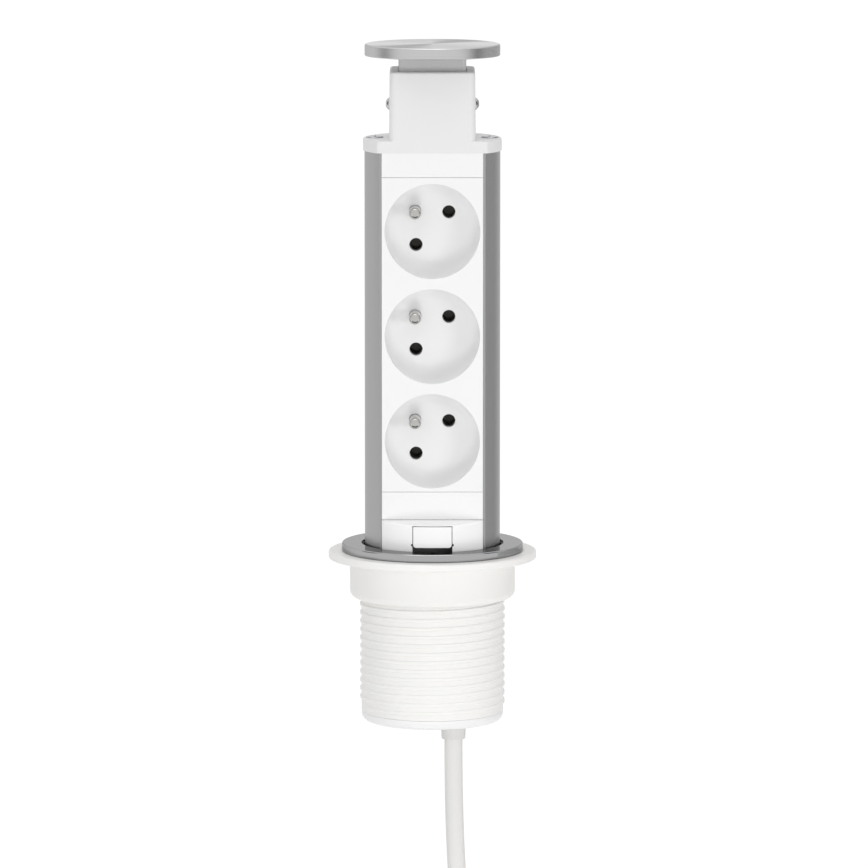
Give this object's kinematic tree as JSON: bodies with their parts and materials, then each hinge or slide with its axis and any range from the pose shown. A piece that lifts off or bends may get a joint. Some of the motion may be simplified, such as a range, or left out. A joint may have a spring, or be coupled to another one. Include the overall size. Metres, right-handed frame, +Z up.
{
  "type": "desk socket tower",
  "caption": "Retractable desk socket tower: recessed earth-pin outlets in a round aluminium column that slides through a sleeve clamped in a round desk hole.",
  "frame": {"origin": "centre of the trim ring's underside, on the desk's top face", "axes": "+Z up along the column, -Y out of the outlets' front, +X to the right seen from the front"},
  "size_m": [0.0855, 0.0854, 0.6265],
  "materials": {
    "white_plastic": "satin",
    "inner_plastic": "matte",
    "grey_plastic": "satin",
    "aluminium": "satin anodised",
    "steel": "zinc plated",
    "chrome": "polished",
    "brass": "nickel plated",
    "cord_white": "matte sheath",
    "tie_black": "matte",
    "wire_brown": "gloss",
    "wire_blue": "gloss",
    "wire_green": "gloss"
  },
  "bodies": {
    "base": {"trim_ring": "aluminium", "threaded_sleeve": "white_plastic"},
    "washer": {"pressure_washer": "white_plastic"},
    "nut": {"clamp_nut": "white_plastic"},
    "cap": {"cap_disc": "aluminium", "cap_neck": "grey_plastic", "cap_screws": "steel"},
    "latch": {"latch_tab": "white_plastic", "latch_pin": "steel"},
    "tower": {"bottom_housing": "white_plastic", "cap_spring": "steel", "clamp_screws": "steel", "column_profile": "aluminium", "column_screws": "steel", "contact_carrier": "inner_plastic", "contact_cover": "inner_plastic", "cord_clamp": "inner_plastic", "cord_gland": "cord_white", "cord_hank": "cord_white", "cord_inlet": "cord_white", "cord_run": "cord_white", "cord_tail": "cord_white", "cover_screws": "steel", "earth_pins": "brass", "earth_strip": "brass", "earth_wire": "wire_green", "foot_panel": "white_plastic", "guide_screws": "chrome", "hank_tie": "tie_black", "head_housing": "white_plastic", "inlet_cover": "white_plastic", "latch_spring": "steel", "line_strip": "brass", "line_wire": "wire_brown", "lower_blank": "white_plastic", "neutral_strip": "brass", "neutral_wire": "wire_blue", "plate_screws": "steel", "plug_body": "cord_white", "plug_earth_clips": "brass", "plug_pins": "brass", "socket_fascia": "white_plastic", "socket_insert_1": "white_plastic", "socket_insert_2": "white_plastic", "socket_insert_3": "white_plastic", "upper_blank": "white_plastic"}
  },
  "joints": [
    {"name": "washer_travel", "type": "slide", "parent": "base", "child": "washer", "axis": [0, 0, 1], "range_m": [-0.044, 0]},
    {"name": "nut_turn", "type": "hinge", "parent": "washer", "child": "nut", "pos_m": [0, 0, -0.0115], "axis": [0, 0, 1], "range_deg": [-4526, 0]},
    {"name": "tower_slide", "type": "slide", "parent": "base", "child": "tower", "axis": [0, 0, 1], "range_m": [-0.2004, 0], "deforming": ["latch_tab"]},
    {"name": "cap_press", "type": "slide", "parent": "tower", "child": "cap", "axis": [0, 0, 1], "range_m": [-0.005, 0], "stiffness_N_per_m": 600, "springref_m": 0.005, "deforming": ["cap_spring"]},
    {"name": "latch_press", "type": "hinge", "parent": "tower", "child": "latch", "pos_m": [0, -0.025, 0.01105], "axis": [1, 0, 0], "range_deg": [0, 7], "stiffness_Nm_per_rad": 0.05, "springref_deg": -0.57, "deforming": ["latch_spring"]}
  ],
  "couplings": [
    {"joint": "nut_turn", "follows": "washer_travel", "rad_per_m": 1795.2}
  ]
}
